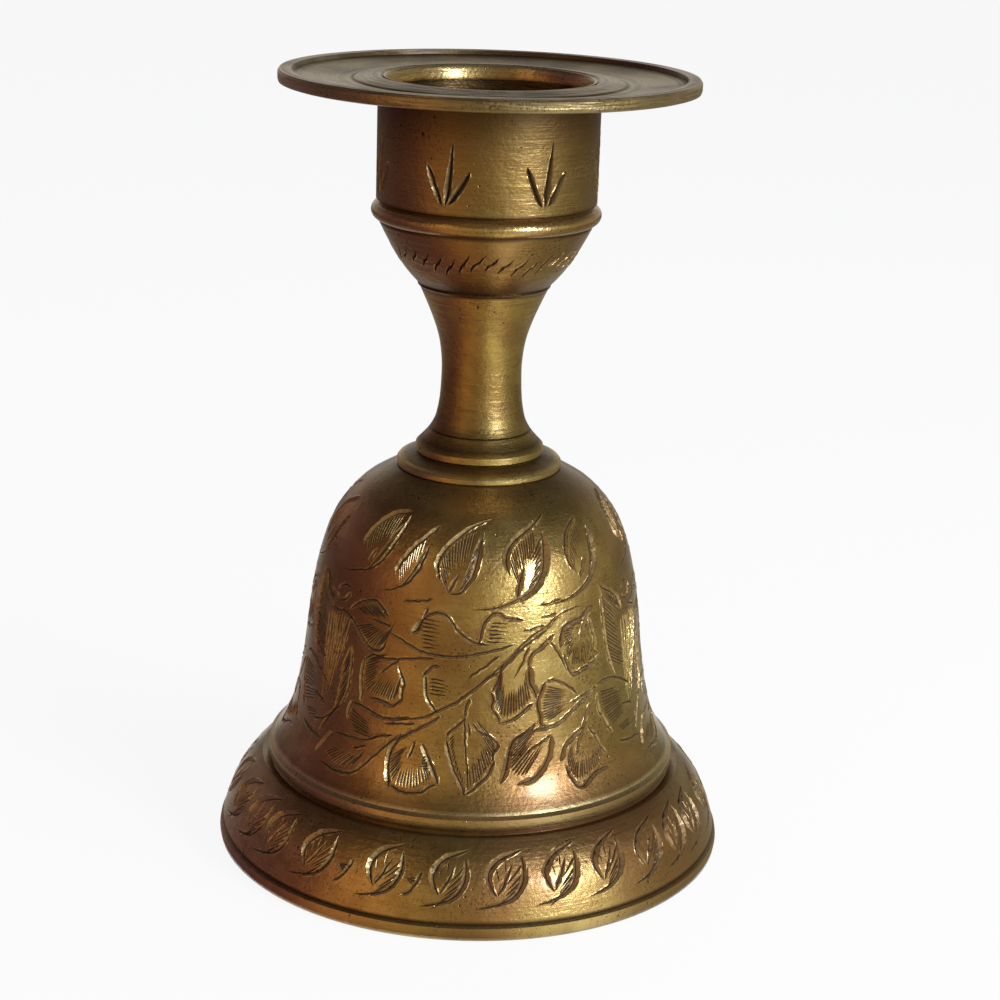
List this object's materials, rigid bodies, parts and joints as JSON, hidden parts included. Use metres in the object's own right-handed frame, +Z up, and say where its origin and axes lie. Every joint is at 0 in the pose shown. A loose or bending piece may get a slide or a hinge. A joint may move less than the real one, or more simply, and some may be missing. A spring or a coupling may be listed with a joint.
{
  "type": "bell candlestick",
  "caption": "Bell-shaped brass candlestick: drip pan and candle cup on a waisted stem, over an engraved bell with a clapper inside.",
  "frame": {"origin": "centre of the circle that the lip of the bell stands on", "axes": "+Z up along the common axis of all turned pieces, out of the candle socket; the picture looks along +Y, slightly down"},
  "size_m": [0.06, 0.06, 0.0909],
  "materials": {
    "bell_brass": "aged, engraved, with dark patina in the cuts",
    "turned_brass": "aged, turned, satin",
    "tarnished_brass": "matte grey-brown tarnish",
    "clapper_brass": "dull as-cast",
    "hidden_steel": "dark oxide"
  },
  "bodies": {
    "candlestick": {"bell": "bell_brass", "collar": "turned_brass", "stem": "turned_brass", "candle_cup": "turned_brass", "drip_pan": "tarnished_brass", "tie_stud": "hidden_steel", "washer": "hidden_steel", "nut": "hidden_steel"},
    "link": {"clapper_link": "hidden_steel"},
    "clapper": {"clapper": "clapper_brass"}
  },
  "joints": [
    {"name": "link_swing", "type": "hinge", "parent": "candlestick", "child": "link", "pos_m": [0, 0, 0.035], "axis": [0, 1, 0], "range_deg": [-36, 36]},
    {"name": "clapper_swing", "type": "hinge", "parent": "link", "child": "clapper", "pos_m": [0, 0, 0.0261], "axis": [1, 0, 0], "range_deg": [-15, 15]}
  ]
}
